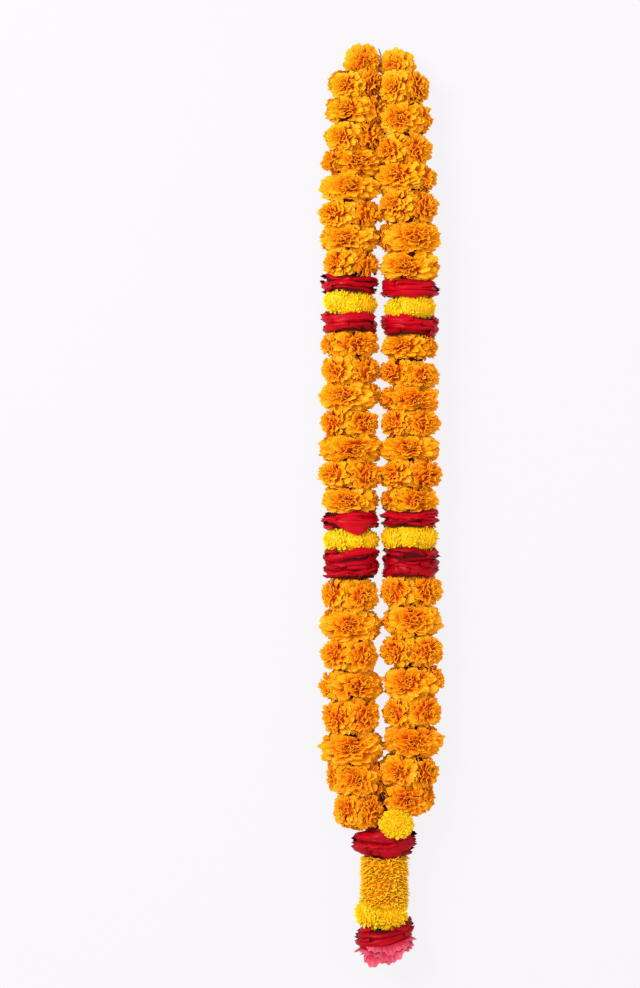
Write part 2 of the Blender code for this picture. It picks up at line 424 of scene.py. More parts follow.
@dataclass(frozen=True)
class PlainFinish:
    """A finish with fine fibres or grain on one colour: the calyx, the core of painted shade and the thread.
    """

    name: str
    colour: Paint
    shade: Paint
    grain: float
    roughness: float
    depth: float

    def material(self) -> bpy.types.Material:
        """Return the material."""
        made, wiring, shader = new_material(self.name)
        place = wiring.node("ShaderNodeTexCoord")
        grain = wiring.noise(place.outputs["Object"], self.grain, 3.0)
        colour = wiring.mix(wiring.ramp(grain, 0.35, 0.65), self.colour, self.shade)
        wiring.feed(shader["Base Color"], colour)
        wiring.feed(shader["Normal"], wiring.bump(grain, 0.4, self.depth))
        shader["Roughness"].default_value = self.roughness
        shader["Specular IOR Level"].default_value = 0.1
        return made


@dataclass(frozen=True)
class FloorFinish:
    """A bright floor that hardly takes a shadow, as of a lit studio table."""

    name: str
    colour: Paint
    glow: Paint

    def material(self) -> bpy.types.Material:
        """Return the material."""
        made, _, shader = new_material(self.name)
        shader["Base Color"].default_value = self.colour.rgba()
        shader["Roughness"].default_value = 0.9
        shader["Specular IOR Level"].default_value = 0.1
        shader["Emission Color"].default_value = self.glow.rgba()
        shader["Emission Strength"].default_value = 1.0
        return made


MARIGOLD_FINISH = PetalFinish(
    name="marigold_petal",
    base=Paint(0.66, 0.062, 0.0),
    blade=Paint(1.0, 0.350, 0.001),
    flush=Paint(1.0, 0.190, 0.0),
    margin=Paint(1.0, 0.380, 0.002),
    margin_strength=0.7,
    subsurface=0.32,
)
YELLOW_FINISH = PetalFinish(
    name="yellow_petal",
    base=Paint(0.90, 0.38, 0.0),
    blade=Paint(0.93, 0.56, 0.001),
    flush=Paint(0.93, 0.47, 0.0),
    margin=Paint(0.93, 0.62, 0.006),
    margin_strength=0.7,
    vein_scale=2.5,
    subsurface=0.35,
)
CHRYSANTHEMUM_FINISH = PetalFinish(
    name="chrysanthemum_petal",
    base=Paint(0.80, 0.20, 0.0),
    blade=Paint(0.93, 0.49, 0.003),
    flush=Paint(0.96, 0.42, 0.0),
    margin=Paint(0.96, 0.56, 0.01),
    margin_strength=0.8,
    vein_scale=2.5,
    subsurface=0.10,
)
# The near-black base is painted shade, shown on petals that lie in the dark.
ROSE_FINISH = PetalFinish(
    name="rose_petal",
    base=Paint(0.05, 0.0, 0.003),
    blade=Paint(0.43, 0.0, 0.008),
    flush=Paint(0.15, 0.0, 0.002),
    margin=Paint(0.022, 0.0, 0.007),
    margin_from=0.88,
    margin_to=0.99,
    margin_strength=0.9,
    variation=0.9,
    vein_scale=7.0,
    vein_depth=0.35,
    vein_shade=0.35,
    satin=True,
)
PINK_FINISH = PetalFinish(
    name="pink_petal",
    base=Paint(0.26, 0.0, 0.008),
    blade=Paint(0.45, 0.006, 0.030),
    flush=Paint(0.34, 0.001, 0.014),
    margin=Paint(0.54, 0.080, 0.140),
    margin_from=0.78,
    margin_strength=0.9,
    variation=0.6,
    vein_scale=14.0,
    vein_depth=0.25,
    vein_shade=0.15,
    subsurface=0.15,
)
# Dark olive-brown, not green: the calyx's own colour darkened as painted shade where it peeks between
# petals.
CALYX_FINISH = PlainFinish(
    name="calyx_olive_shade",
    colour=Paint(0.10, 0.085, 0.012),
    shade=Paint(0.17, 0.13, 0.02),
    grain=900.0,
    roughness=0.6,
    depth=0.0003,
)
# A near-black maroon core: painted shade for the dark gaps deep among the petals.
PITH_FINISH = PlainFinish(
    name="painted_shade_core",
    colour=Paint(0.060, 0.001, 0.002),
    shade=Paint(0.034, 0.001, 0.001),
    grain=700.0,
    roughness=0.8,
    depth=0.0003,
)
THREAD_FINISH = PlainFinish(
    name="cotton_twine",
    colour=Paint(0.14, 0.11, 0.16),
    shade=Paint(0.30, 0.26, 0.32),
    grain=2600.0,
    roughness=0.85,
    depth=0.0002,
)
FLOOR_FINISH = FloorFinish("pale_floor", Paint(0.045, 0.044, 0.046), Paint(0.872, 0.850, 0.880))


class Palette:
    """Every material of the garland, by the slot that it stands for."""

    def __init__(self) -> None:
        """Build the materials."""
        pattern = PetalPattern()
        self.petals = {
            slot: finish.material(pattern)
            for slot, finish in (
                (Slot.MARIGOLD, MARIGOLD_FINISH),
                (Slot.YELLOW, YELLOW_FINISH),
                (Slot.CHRYSANTHEMUM, CHRYSANTHEMUM_FINISH),
                (Slot.ROSE, ROSE_FINISH),
                (Slot.PINK, PINK_FINISH),
            )
        }
        self.calyx = CALYX_FINISH.material()
        self.shade_core = PITH_FINISH.material()
        self.thread = THREAD_FINISH.material()
        self.floor = FLOOR_FINISH.material()


# ------------------------------------------------------------------------------------------ petals


def basis(first: Vector, second: Vector, third: Vector, place: Vector) -> Matrix:
    """Return the matrix whose columns are three vectors and a place."""
    made = Matrix((first, second, third)).transposed().to_4x4()
    made.translation = place
    return made


@dataclass(frozen=True)
class PetalForm:
    """The blade of one petal. Lengths are shares of the head's radius, and angles are in radians."""

    length: float
    width: float
    claw: float
    """How wide the base is, as a share of the width."""
    bend: float
    """How far it curls away from the head's axis."""
    cup: float
    """How far its sides rise, as a share of the half width."""
    ruffle: float
    waves: float
    """How many half waves the ruffle has from side to side."""
    notch: float
    """How deep the margin's teeth are, as a share of the length."""

    ROUNDING: ClassVar[float] = 0.34
    """How far the corners of the tip are rounded off, as a share of the length."""

    def towards(self, other: "PetalForm", share: float) -> "PetalForm":
        """Return the form between this one and another.

        Args:
            other: the form at share 1.
            share: from 0 to 1.

        Returns:
            The form in between.
        """
        values = {}
        for part in fields(self):
            own = getattr(self, part.name)
            values[part.name] = own + (getattr(other, part.name) - own) * share
        return PetalForm(**values)

    def point(self, across: float, along: float, phase: float) -> Vector:
        """Return a point of the blade.

        Args:
            across: from -1 at one side to 1 at the other.
            along: from 0 at the base to 1 at the tip.
            phase: shifts the ruffle's waves.

        Returns:
            The point as (sideways, away from the axis, outwards).
        """
        rounding = 1.0 - self.ROUNDING * across**4 * along
        tooth = 1.0 + self.notch * along * along * math.cos(self.waves * 2.1 * across * math.pi + phase)
        way = self.length * along * rounding * tooth
        turn = self.bend * along * rounding
        pace = way / turn if abs(turn) > 0.00001 else 0.0
        outwards = math.sin(turn) * pace if pace else way
        away = (1.0 - math.cos(turn)) * pace
        swell = math.sin(0.5 * math.pi * min(1.0, 1.15 * along))
        half = 0.5 * self.width * (self.claw + (1.0 - self.claw) * swell)
        wave = math.sin(self.waves * math.pi * across + phase)
        rise = self.cup * half * across * across + self.ruffle * along * along * wave
        return Vector((across * half, away - rise * math.cos(turn), outwards + rise * math.sin(turn)))

    def lay(
        self,
        body: BMesh,
        place: Matrix,
        squares: tuple[int, int],
        phase: float,
        tone: float,
    ) -> None:
        """Add the blade to a body, as a sheet without a thickness.

        Args:
            body: the flower so far.
            place: takes the blade to the flower.
            squares: how many the sheet has across and along.
            phase: shifts the ruffle's waves.
            tone: how deep its colour is.
        """
        layer = body.verts.layers.float_vector[PETAL_LAYER]
        grid = bmesh.ops.create_grid(body, x_segments=squares[0], y_segments=squares[1], size=0.5)
        for vert in grid["verts"]:
            across = 2.0 * vert.co.x
            along = vert.co.y + 0.5
            vert[layer] = (across, along, tone)
            vert.co = place @ self.point(across, along, phase)


@dataclass(frozen=True)
class HeadForm:
    """A flower head: petals on a dome, packed as a sunflower packs its seeds."""

    slot: Slot
    count: int
    spread: float
    """The angle from the head's axis to its outermost petals."""
    heart: PetalForm
    rim: PetalForm
    squares: tuple[int, int]
    """How many each petal's sheet has across and along."""
    thickness: float
    """Of a petal, as a share of the radius."""
    looseness: float
    """How unevenly the petals stand, in radians."""
    core: float = 0.50
    """The radius of the solid middle that the petals stand on."""
    opening: float = 0.85
    """The angle from the axis where the petals are as open as at the rim."""
    crowding: float = 1.0
    """How much closer together the petals are at the heart than at the rim."""


MARIGOLD_HEAD = HeadForm(
    slot=Slot.MARIGOLD,
    count=104,
    spread=2.20,
    heart=PetalForm(0.36, 0.24, 0.5, -0.10, 1.0, 0.10, 1.5, 0.06),
    rim=PetalForm(0.58, 0.48, 0.35, 0.80, 0.22, 0.070, 1.4, 0.04),
    squares=(4, 3),
    thickness=0.014,
    looseness=0.15,
    core=0.52,
    opening=0.95,
    crowding=1.34,
)
YELLOW_HEAD = HeadForm(
    slot=Slot.YELLOW,
    count=170,
    spread=2.40,
    heart=PetalForm(0.24, 0.19, 0.9, -0.05, 0.3, 0.02, 1.0, 0.03),
    rim=PetalForm(0.34, 0.30, 0.8, 0.70, 0.20, 0.03, 1.2, 0.03),
    squares=(2, 3),
    thickness=0.013,
    looseness=0.08,
    core=0.86,
)
POMPON_HEAD = HeadForm(
    slot=Slot.YELLOW,
    count=230,
    spread=2.75,
    heart=PetalForm(0.30, 0.15, 0.8, -0.10, 0.5, 0.01, 1.0, 0.03),
    rim=PetalForm(0.34, 0.20, 0.7, 0.45, 0.45, 0.01, 1.0, 0.03),
    squares=(2, 3),
    thickness=0.013,
    looseness=0.07,
    core=0.78,
)


def thicken(body: BMesh, thickness: float) -> None:
    """Close every open petal of a body into a thin solid.

    Args:
        body: petals without a thickness.
        thickness: of every petal.
    """
    body.normal_update()
    made = bmesh.ops.extrude_face_region(body, geom=body.faces[:], use_keep_orig=True)
    for vert in made["geom"]:
        if isinstance(vert, BMVert):
            vert.co += vert.normal * thickness
    bmesh.ops.recalc_face_normals(body, faces=body.faces[:])


class HeadMaker:
    """Makes a few different heads of one form, with a radius of 1 and the axis along +Z."""

    CORE_FRONT = 0.34
    CORE_SHADED_BACK = 0.0
    # Where on a petal the colours of the core's front and back come from; the back takes the dark base
    # colour as painted shade.
    """Where on a petal the colours of the core's front and back come from."""
    FRONT_ABOVE = 0.15
    """The core's height where its front starts."""

    def __init__(self, form: HeadForm, variants: int, seed: int) -> None:
        """Make the heads.

        Args:
            form: the heads' form.
            variants: how many different heads to make.
            seed: for the heads' random draws.
        """
        self.form = form
        self.heads = []
        for n in range(variants):
            self.heads.append(self.head(random.Random(seed + n), f"{form.slot.value}_head_{n}"))

    def head(self, draw: random.Random, name: str) -> bpy.types.Mesh:
        """Return one head's mesh.

        Args:
            draw: the random draws.
            name: the mesh's name.

        Returns:
            The mesh, which no object uses.
        """
        body = bmesh.new()
        layer = body.verts.layers.float_vector.new(PETAL_LAYER)
        form = self.form
        for n in range(form.count):
            share = ((n + 0.5) / form.count) ** form.crowding
            polar = math.acos(1.0 - (1.0 - math.cos(form.spread)) * share)
            turn = n * GOLDEN_TURN + draw.gauss(0.0, form.looseness)
            blade = form.heart.towards(form.rim, min(1.0, polar / form.opening))
            blade = replace(blade, bend=blade.bend + draw.gauss(0.0, form.looseness * 1.5))
            self.petal(body, blade, polar + draw.gauss(0.0, form.looseness * 0.5), turn, draw)
        thicken(body, form.thickness)
        core = bmesh.ops.create_uvsphere(body, u_segments=10, v_segments=7, radius=form.core)
        for vert in core["verts"]:
            # The core's back is painted with the dark base colour as shade.
            along = self.CORE_FRONT if vert.co.z > self.FRONT_ABOVE else self.CORE_SHADED_BACK
            vert[layer] = (0.0, along, 0.6)
        mesh = bpy.data.meshes.new(name)
        body.to_mesh(mesh)
        body.free()
        return mesh

    def petal(self, body: BMesh, blade: PetalForm, polar: float, turn: float, draw: random.Random) -> None:
        """Add one petal to a head.

        Args:
            body: the head so far.
            blade: the petal's form.
            polar: the petal's angle from the head's axis.
            turn: its angle about the axis.
            draw: the random draws.
        """
        round_axis = Vector((math.cos(turn), math.sin(turn), 0.0))
        outwards = round_axis * math.sin(polar) + UP * math.cos(polar)
        away = round_axis * math.cos(polar) - UP * math.sin(polar)
        roll = Matrix.Rotation(draw.gauss(0.0, self.form.looseness * 1.6), 4, "Z")
        lean = Matrix.Rotation(draw.gauss(0.0, self.form.looseness), 4, "Y")
        size = Matrix.Scale(draw.uniform(0.87, 1.08), 4)
        reach = blade.length * (math.sin(blade.bend) / blade.bend if abs(blade.bend) > 0.001 else 1.0)
        start = outwards * (1.0 - reach - 0.02 + draw.gauss(0.0, 0.02))
        phase = draw.uniform(0.0, math.tau)
        tone = draw.random() * 0.85 + 0.30 * max(0.0, math.cos(polar * 1.4))
        place = basis(away.cross(outwards), away, outwards, start) @ roll @ lean @ size
        blade.lay(body, place, self.form.squares, phase, tone)


# ----------------------------------------------------------------------------------------- flowers


class CentreLine:
    """The line of a strand's thread, read from the middles of its nodes."""

    def __init__(self, nodes: Sequence[str]) -> None:
        """Read the nodes' boxes.

        Args:
            nodes: the strand's nodes.
        """
        middles = ((low + high) / 2 for low, high in map(self.corners, nodes))
        self.points = sorted(middles, key=lambda middle: middle.y)

    @staticmethod
    def corners(node: str) -> tuple[Vector, Vector]:
        """Return a node's lowest and highest corners."""
        low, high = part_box(node)
        return Vector(low), Vector(high)

    def at(self, y: float) -> Vector:
        """Return the line's place at y."""
        points = self.points
        for low, high in zip(points, points[1:]):
            if y <= high.y or high is points[-1]:
                share = (y - low.y) / (high.y - low.y)
                return low.lerp(high, share)
        return points[0].copy()

    def way(self, y: float) -> Vector:
        """Return the line's direction at y, towards +Y."""
        step = 0.01
        return (self.at(y + step) - self.at(y - step)).normalized()


@dataclass
class Bench:
    """What every flower needs while it is made."""

    palette: Palette
    heads: dict[Kind, HeadMaker]


class Piece:
    """One finished piece of the garland, built in one body of mesh."""

    THICKNESS = 0.0004
    SQUARENESS = 2.5
    SOFT = 0.004
    """Below this height whatever would sink into the surface spreads on it."""
    CALYX, PITH = 1, 2
    """The numbers of these materials in the piece. The petals' is 0."""
    PITH_INSET = 0.015
    # How far the core of painted shade stops short of each end, as a share of its length.
    """How far the dark middle stops short of each end, as a share of its length."""

    def __init__(self, bench: Bench, slot: Slot, nodes: Sequence[str], name: str, seed: int) -> None:
        """Start an empty piece.

        Args:
            bench: the shared materials and heads.
            slot: the record's slot that it stands for.
            nodes: the frame's nodes that it replaces.
            name: the piece's name.
            seed: for its random draws.
        """
        self.bench = bench
        self.slot = slot
        self.nodes = nodes
        self.name = name
        self.draw = random.Random(seed)
        self.body = bmesh.new()
        self.layer = self.body.verts.layers.float_vector.new(PETAL_LAYER)

    def take(self, mesh: bpy.types.Mesh, place: Matrix, tone: float) -> list[BMVert]:
        """Add a copy of a mesh.

        Args:
            mesh: the mesh to copy.
            place: where it goes.
            tone: added to its petals' tones.

        Returns:
            The new vertices.
        """
        before = set(self.body.verts)
        self.body.from_mesh(mesh)
        added = [vert for vert in self.body.verts if vert not in before]
        self.layer = self.body.verts.layers.float_vector[PETAL_LAYER]
        bmesh.ops.transform(self.body, matrix=place, verts=added)
        for vert in added:
            across, along, own = vert[self.layer]
            vert[self.layer] = (across, along, min(1.0, max(0.0, own * 0.75 + tone)))
        return added

    def square_up(self, verts: Sequence[BMVert], axes: Matrix) -> None:
        """Fill a head's corners, as where neighbours press it.

        Args:
            verts: the head's.
            axes: its radii and middle.
        """
        back = axes.inverted()
        for vert in verts:
            side, along, out = back @ vert.co
            power = self.SQUARENESS
            corner = (abs(side) ** power + abs(along) ** power) ** (1.0 / power)
            share = math.hypot(side, along) / max(corner, 0.001)
            vert.co = axes @ Vector((side * share, along * share, out))

    def stub(
        self,
        start: Vector,
        end: Vector,
        radii: tuple[float, float],
        sides: int,
        material: int,
    ) -> list[BMVert]:
        """Add a straight round stub with closed ends.

        Args:
            start: the middle of its one end.
            end: the middle of its other end.
            radii: of the two ends.
            sides: how many it has.
            material: the number of its material.

        Returns:
            The new vertices.
        """
        way = end - start
        turn = way.to_track_quat("Z", "Y").to_matrix().to_4x4()
        made = bmesh.ops.create_cone(
            self.body,
            cap_ends=True,
            segments=sides,
            radius1=radii[0],
            radius2=radii[1],
            depth=way.length,
            matrix=Matrix.Translation((start + end) / 2) @ turn,
        )
        for face in {face for vert in made["verts"] for face in vert.link_faces}:
            face.material_index = material
        return made["verts"]

    def calyx(self, root: Vector, tip: Vector, radius: float) -> list[BMVert]:
        """Add the cup that a head's petals grow from, a calyx whose dark olive-brown is partly painted
        shade.

        Args:
            root: its narrow end, at the thread.
            tip: its wide end, inside the petals.
            radius: of the wide end.

        Returns:
            The new vertices.
        """
        return self.stub(root, tip, (radius * 0.42, radius), 8, self.CALYX)

    def shade_core(self, start: Vector, end: Vector, radius: float) -> None:
        """Add a near-black core of painted shade where petals crowd round the thread.

        Args:
            start: its one end.
            end: its other end.
            radius: of the middle.
        """
        inset = (end - start) * self.PITH_INSET
        self.stub(start + inset, end - inset, (radius, radius), 24, self.PITH)

    def settle(self, verts: Sequence[BMVert], axis_height: float, flatness: float) -> None:
        """Press the flowers flat and keep them on the surface.

        Args:
            verts: what to press.
            axis_height: the thread's height.
            flatness: the height left, as a share.
        """
        for vert in verts:
            height = axis_height + (vert.co.z - axis_height) * flatness
            if height < self.SOFT:
                sunk = math.exp((height - self.SOFT) / self.SOFT)
                height = SURFACE_CLEARANCE + (self.SOFT - SURFACE_CLEARANCE) * sunk
            vert.co.z = height

    def finish(self) -> None:
        """Make the object, dress it, hang it under the root and hide the frame's nodes that it replaces."""
        mesh = bpy.data.meshes.new(self.name)
        self.body.to_mesh(mesh)
        self.body.free()
        mesh.shade_smooth()
        mesh.set_sharp_from_angle(angle=math.radians(50.0))
        thing = bpy.data.objects.new(self.name, mesh)
        bpy.context.scene.collection.objects.link(thing)
        palette = self.bench.palette
        for material in (palette.petals[self.slot], palette.calyx, palette.shade_core):
            mesh.materials.append(material)
        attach(thing, "root")
        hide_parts(*self.nodes)
        LOG.info("%s: %d faces", self.name, len(mesh.polygons))


@dataclass(frozen=True)
class RowShape:
    """How one row of heads sits on its thread."""

    place: Vector
    way: Vector
    half_length: float
    half_width: float
    half_height: float
    facing: Facing
    mean_tone: float
    """How deep the heads' colour is, on average."""
    overlap: float = 1.18
    """How far a head reaches into the next row, as a share of the half length."""
    press: float = 1.0
    """How much wider the heads underneath spread than the others."""


class StrungHeads(Piece):
    """One or more rows of heads side by side round the thread."""

    PITH_RADIUS = 0.0140
    FULLNESS = 1.09
    """How far the petals reach, as a share of the row's own width."""
    CALYX_ROOT = 0.0016
    CALYX_TIP = 0.0085
    """How far a calyx starts and ends from the thread."""
    CALYX_RADIUS = 0.0045

    def row(self, shape: RowShape, kind: Kind) -> None:
        """Add a row of heads.

        Args:
            shape: how the row sits.
            kind: of its heads.
        """
        draw = self.draw
        across = shape.way.cross(UP).normalized()
        row_turn = draw.gauss(0.0, 9.0)
        flatness = shape.half_height / shape.half_width
        for stance in shape.facing.value:
            turn = math.radians(stance.angle + row_turn + draw.gauss(0.0, 5.0))
            out = across * math.cos(turn) + UP * math.sin(turn)
            tangent = shape.way.cross(out)
            full = shape.half_width * self.FULLNESS
            radius = full * stance.reach * draw.uniform(0.96, 1.05)
            side = full * stance.side * draw.uniform(0.96, 1.04)
            if stance.angle > 180.0:
                radius *= shape.press
                side *= shape.press
            along = shape.half_length * shape.overlap * draw.uniform(0.95, 1.06)
            shift = shape.way * draw.gauss(0.0, 0.0011)
            middle = shape.place + out * full * stance.root + shift
            tilt = Matrix.Rotation(draw.gauss(0.0, 0.12), 4, "X")
            tilt @= Matrix.Rotation(draw.gauss(0.0, 0.08), 4, "Y")
            spin = Matrix.Rotation(draw.uniform(0.0, math.tau), 4, "Z")
            axes = basis(tangent * side, shape.way * along, out * radius, middle)
            head = draw.choice(self.bench.heads[kind].heads)
            verts = self.take(head, axes @ tilt @ spin, draw.gauss(shape.mean_tone, 0.13))
            self.square_up(verts, axes)
            self.settle(verts, shape.place.z, flatness)
            root = shape.place + out * self.CALYX_ROOT
            cup = self.calyx(root, shape.place + out * self.CALYX_TIP, self.CALYX_RADIUS)
            self.settle(cup, shape.place.z, flatness)


@dataclass(frozen=True)
class StrandPlan:
    """A strand's choices that the frame doesn't hold."""

    side: str
    facings: str
    """One letter for each row from the top down: pair, front, left or right."""
    fullness: tuple[float, ...]
    """How full the rows are from the top down, as a share of the width of their node."""
    last_rise: float
    """How far the last row sits above its place."""


FACING_OF = {"P": Facing.PAIR, "F": Facing.FRONT, "L": Facing.LEFT, "R": Facing.RIGHT}
LEFT_PLAN = StrandPlan(
    side="left",
    facings="PLPRFPLPRPLPFPLPLPRPFLP",
    fullness=(
        0.99, 1.04, 1.00, 0.97, 0.95, 1.05, 1.05, 0.97,
        0.99, 1.00, 1.03, 0.95, 1.04, 1.07, 0.99,
        0.95, 1.01, 0.97, 1.04, 0.97, 1.01, 0.99, 0.90,
    ),
    last_rise=0.0,
)
RIGHT_PLAN = StrandPlan(
    side="right",
    facings="PRPLPRFLPRPFPRPRPLPFPR",
    fullness=(
        0.95, 0.97, 0.95, 0.98, 0.97, 1.04, 0.99,
        0.94, 1.01, 1.00, 0.99, 1.00, 1.05, 0.96,
        1.00, 0.96, 1.03, 1.00, 0.96, 0.95, 1.03, 0.86,
    ),
    last_rise=0.0050,
)


class StrandMaker:
    """Makes the marigold and yellow rows of one strand."""

    CLOSE_ABOVE = 0.355
    CLOSE_BELOW = -0.29
    """Beyond these places along Y the two strands press on each other."""
    CLOSE_SHARE = 0.86
    """How far from the garland's middle the flowers stay there, as a share of the thread's way."""
    NECK = 0.42
    NECK_SHARE = 0.81
    """The same above this place along Y, where they press hardest."""
    PRESS = 1.22
    ROW_LENGTH = 0.031
    """About how much of the thread a row of marigolds takes."""
    BARE_END = 0.006
    # How far the core of painted shade stops short of the strand's end.
    """How far the dark middle stops short of the strand's end."""
    MEAN_TONE = 0.15
    TONE_PER_METRE_DOWN = 0.80
    # How much deeper and redder the heads' tone is for each metre down the strand.
    """How much riper the heads are for each metre down the strand."""
    YELLOW_FULLNESS = {1: 0.91, 2: 0.98}
    """By the number of the band."""
    YELLOW_OVERLAP = 1.32
    YELLOW_RIPENESS = 0.05

    def __init__(self, bench: Bench, plan: StrandPlan) -> None:
        """Read the strand's nodes from the frame.

        Args:
            bench: the shared materials and heads.
            plan: the strand's choices.
        """
        self.bench = bench
        self.plan = plan
        strung = [
            node
            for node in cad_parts
            if node.startswith(f"{plan.side}_") and ("marigolds" in node or "_band_" in node)
        ]
        self.line = CentreLine(strung)
        self.nodes = sorted(strung, key=lambda node: -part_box(node)[1][1])

    def shape(self, node: str, number: int, rows: int, facing: Facing, fullness: float) -> RowShape:
        """Return how one row of a node sits.

        Args:
            node: the node that holds the row.
            number: the row's number in it, from the top.
            rows: how many rows the node holds.
            facing: how its heads stand.
            fullness: how full the row is.

        Returns:
            The row's shape.
        """
        low, high = CentreLine.corners(node)
        length = (high.y - low.y) / rows
        place = self.line.at(high.y - length * (number + 0.5))
        width = (high.x - low.x) * fullness
        press = 1.0
        if not self.CLOSE_BELOW < place.y < self.CLOSE_ABOVE:
            place.x *= self.CLOSE_SHARE if place.y < self.NECK else self.NECK_SHARE
            press = self.PRESS
        way = self.line.way(place.y)
        # The heads' tone grows deeper and redder towards the bottom of the garland.
        mean_tone = self.MEAN_TONE - self.TONE_PER_METRE_DOWN * place.y
        height = high.z - low.z
        return RowShape(place, way, length / 2, width / 2, height / 2, facing, mean_tone, press=press)

    def yellow_row(self, node: str, seed: int) -> None:
        """Make a band's yellow row.

        Args:
            node: the node that it replaces.
            seed: for its random draws.
        """
        piece = StrungHeads(self.bench, Slot.YELLOW, [node], f"{node}_flowers", seed)
        fullness = self.YELLOW_FULLNESS[1 if "band_1" in node else 2]
        shape = self.shape(node, 0, 1, Facing.CLUSTER, fullness)
        shape = replace(shape, overlap=self.YELLOW_OVERLAP, mean_tone=self.YELLOW_RIPENESS)
        piece.row(shape, Kind.YELLOW)
        piece.finish()

    def marigold_rows(self, node: str, first: int, seed: int) -> int:
        """Make the marigold rows of a node.

        Args:
            node: the node that they replace.
            first: how many rows the strand has above them.
            seed: for their random draws.

        Returns:
            How many rows were made.
        """
        low, high = CentreLine.corners(node)
        rows = max(1, round((high.y - low.y) / self.ROW_LENGTH))
        piece = StrungHeads(self.bench, Slot.MARIGOLD, [node], f"{node}_flowers", seed)
        bottom = low.y + (self.BARE_END if node == self.nodes[-1] else 0.0)
        piece.shade_core(self.line.at(bottom), self.line.at(high.y), piece.PITH_RADIUS)
        for row in range(rows):
            count = first + row
            facing = FACING_OF[self.plan.facings[count]]
            shape = self.shape(node, row, rows, facing, self.plan.fullness[count])
            if count + 1 == len(self.plan.fullness):
                shape.place.y += self.plan.last_rise
            piece.row(shape, Kind.MARIGOLD)
        piece.finish()
        return rows

    def build(self) -> None:
        """Make every row of heads on the strand."""
        count = 0
        for number, node in enumerate(self.nodes):
            seed = 1000 * (1 + number) + len(self.plan.side)
            if "yellow" in node:
                self.yellow_row(node, seed)
            elif "marigolds" in node:
                count += self.marigold_rows(node, count, seed)


@dataclass(frozen=True)
class HeadPlan:
    """A head that stands alone and fills its node's box."""

    node: str
    name: str
    slot: Slot
    kind: Kind
    seed: int
    out: Vector
    """The way that it faces."""
    fill: Vector
    """Its size along each axis, as shares of the box."""
    shift: Vector
    """From the box's middle to its own."""
    tone: float
    """Added to its petals' tones."""


SINGLE_HEADS = (
    HeadPlan(
        node="left_top_marigold",
        name="left_top_head",
        slot=Slot.MARIGOLD,
        kind=Kind.MARIGOLD,
        seed=501,
        out=Vector((0.50, -0.35, 0.85)),
        fill=Vector((1.10, 1.36, 1.10)),
        shift=Vector((0.0008, -0.0052, 0.0)),
        tone=0.0,
    ),
    HeadPlan(
        node="right_top_marigold",
        name="right_top_head",
        slot=Slot.MARIGOLD,
        kind=Kind.MARIGOLD,
        seed=502,
        out=Vector((-0.45, -0.35, 0.85)),
        fill=Vector((1.13, 1.38, 1.10)),
        shift=Vector((-0.0030, -0.0048, 0.0)),
        tone=0.1,
    ),
    HeadPlan(
        node="yellow_pompon",
        name="yellow_pompon_head",
        slot=Slot.YELLOW,
        kind=Kind.POMPON,
        seed=503,
        out=Vector((0.2, -0.1, 1.0)),
        fill=Vector((1.02, 1.26, 1.10)),
        shift=Vector((0.0, 0.006, 0.0)),
        tone=0.15,
    ),
    HeadPlan(
        node="small_yellow_flower",
        name="small_yellow_head",
        slot=Slot.YELLOW,
        kind=Kind.POMPON,
        seed=504,
        out=Vector((-0.4, -0.3, 0.8)),
        fill=Vector((1.0, 1.0, 1.0)),
        shift=Vector((0.0, 0.0, 0.0)),
        tone=0.5,
    ),
)


class SingleHead(Piece):
    """A head that stands alone."""

    CALYX_RADIUS = 0.0056

    def build(self, plan: HeadPlan) -> None:
        """Make the head.

        Args:
            plan: the head's own values.
        """
        low, high = CentreLine.corners(plan.node)
        middle = (low + high) / 2 + plan.shift
        half = Vector(side * share / 2 for side, share in zip(high - low, plan.fill))
        face = plan.out.to_track_quat("Z", "Y").to_matrix().to_4x4()
        size = Matrix.Diagonal((half.x, half.y, half.z, 1.0))
        spin = Matrix.Rotation(self.draw.uniform(0.0, math.tau), 4, "Z")
        place = Matrix.Translation(middle) @ size @ face @ spin
        verts = self.take(self.bench.heads[plan.kind].heads[0], place, plan.tone)
        self.settle(verts, middle.z, 1.0)
        back = plan.out.normalized() * min(half)
        self.calyx(middle - back * 0.95, middle - back * 0.3, self.CALYX_RADIUS)
        self.finish()


# ----------------------------------------------------------------------------------- pierced petals


@dataclass(frozen=True)
class SheetForm:
    """A broad petal that the thread pierces, bent over at the front and back of the garland."""

    start: float
    """The angle where it starts round the thread, in degrees from +X towards +Z."""
    place: float
    """Where it sits, as a share of the node's length from the top."""
    skirt: float
    """How much of it hangs past the bend at the front."""
    side_bend: float
    """How far it bends at the sides, in radians."""


PINK_PETALS = (
    SheetForm(44.0, 0.05, 0.0090, 0.30),
    SheetForm(2.0, -0.10, 0.0120, 0.60),
    SheetForm(30.0, -0.30, 0.0060, 0.70),
    SheetForm(-34.0, -0.15, 0.0060, 0.70),
    SheetForm(96.0, -0.05, 0.0040, 0.35),
    SheetForm(165.0, 0.00, 0.0060, 0.40),
    SheetForm(215.0, 0.08, 0.0050, 0.50),
    SheetForm(268.0, -0.04, 0.0060, 0.70),
)


